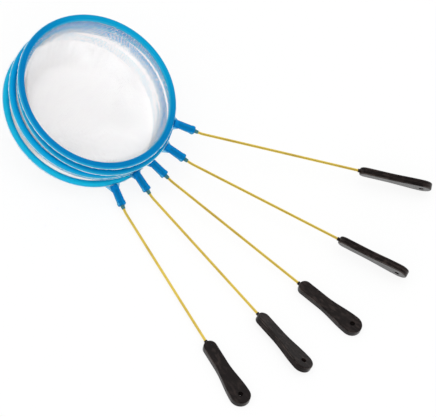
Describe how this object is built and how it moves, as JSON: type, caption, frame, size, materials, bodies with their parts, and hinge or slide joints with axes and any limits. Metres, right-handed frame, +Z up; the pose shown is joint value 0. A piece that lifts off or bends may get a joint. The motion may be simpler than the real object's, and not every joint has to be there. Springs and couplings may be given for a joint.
{
  "type": "aquarium fish net set",
  "caption": "Nested, fanned set of aquarium fish nets: split blue hoops pinch white mesh bags, brass wires bend out of their sockets and flat black grips with hang holes turn on the wires.",
  "frame": {"origin": "middle of the set's footprint, on the table", "axes": "+Z up from the table, +X from the hoops towards the fanned handles, +Y towards the top net's handle"},
  "size_m": [0.2596, 0.2056, 0.0553],
  "materials": {
    "blue_plastic": "glossy, slightly translucent blue",
    "white_mesh": "fine white nylon netting, see-through",
    "brass_wire": "smooth, satin",
    "black_plastic": "matte with softly rounded edges"
  },
  "bodies": {
    "net1": {"net1_hoop": "blue_plastic", "net1_clamp_ring": "blue_plastic", "net1_mesh_bag": "white_mesh", "net1_wire": "brass_wire"},
    "net1_handle": {"net1_grip": "black_plastic"},
    "net2": {"net2_hoop": "blue_plastic", "net2_clamp_ring": "blue_plastic", "net2_mesh_bag": "white_mesh", "net2_wire": "brass_wire"},
    "net2_handle": {"net2_grip": "black_plastic"},
    "net3": {"net3_hoop": "blue_plastic", "net3_clamp_ring": "blue_plastic", "net3_mesh_bag": "white_mesh", "net3_wire": "brass_wire"},
    "net3_handle": {"net3_grip": "black_plastic"},
    "net4": {"net4_hoop": "blue_plastic", "net4_clamp_ring": "blue_plastic", "net4_mesh_bag": "white_mesh", "net4_wire": "brass_wire"},
    "net4_handle": {"net4_grip": "black_plastic"},
    "net5": {"net5_hoop": "blue_plastic", "net5_clamp_ring": "blue_plastic", "net5_mesh_bag": "white_mesh", "net5_wire": "brass_wire"},
    "net5_handle": {"net5_grip": "black_plastic"}
  },
  "joints": [
    {"name": "net1_lift", "type": "slide", "parent": "net2", "child": "net1", "axis": [0.3007, 0, 0.9537], "range_m": [0, 0.06]},
    {"name": "net2_lift", "type": "slide", "parent": "net3", "child": "net2", "axis": [0.3007, 0, 0.9537], "range_m": [0, 0.06]},
    {"name": "net3_lift", "type": "slide", "parent": "net4", "child": "net3", "axis": [0.3007, 0, 0.9537], "range_m": [0, 0.06]},
    {"name": "net4_lift", "type": "slide", "parent": "net5", "child": "net4", "axis": [0.3007, 0, 0.9537], "range_m": [0, 0.06]},
    {"name": "net1_grip_turn", "type": "hinge", "parent": "net1", "child": "net1_handle", "pos_m": [0.06175, 0.07566, 0.01058], "axis": [0.8246, 0.5562, -0.1029], "continuous": true},
    {"name": "net2_grip_turn", "type": "hinge", "parent": "net2", "child": "net2_handle", "pos_m": [0.08291, 0.02747, 0.00861], "axis": [0.969, 0.2416, -0.0522], "continuous": true},
    {"name": "net3_grip_turn", "type": "hinge", "parent": "net3", "child": "net3_handle", "pos_m": [0.08433, -0.01213, 0.0045], "axis": [0.9988, 0, -0.0499], "continuous": true},
    {"name": "net4_grip_turn", "type": "hinge", "parent": "net4", "child": "net4_handle", "pos_m": [0.08033, -0.04661, 0.00451], "axis": [0.9799, -0.1994, -0.0079], "continuous": true},
    {"name": "net5_grip_turn", "type": "hinge", "parent": "net5", "child": "net5_handle", "pos_m": [0.06991, -0.08192, 0.0022], "axis": [0.9272, -0.3746, 0.0009], "continuous": true}
  ]
}
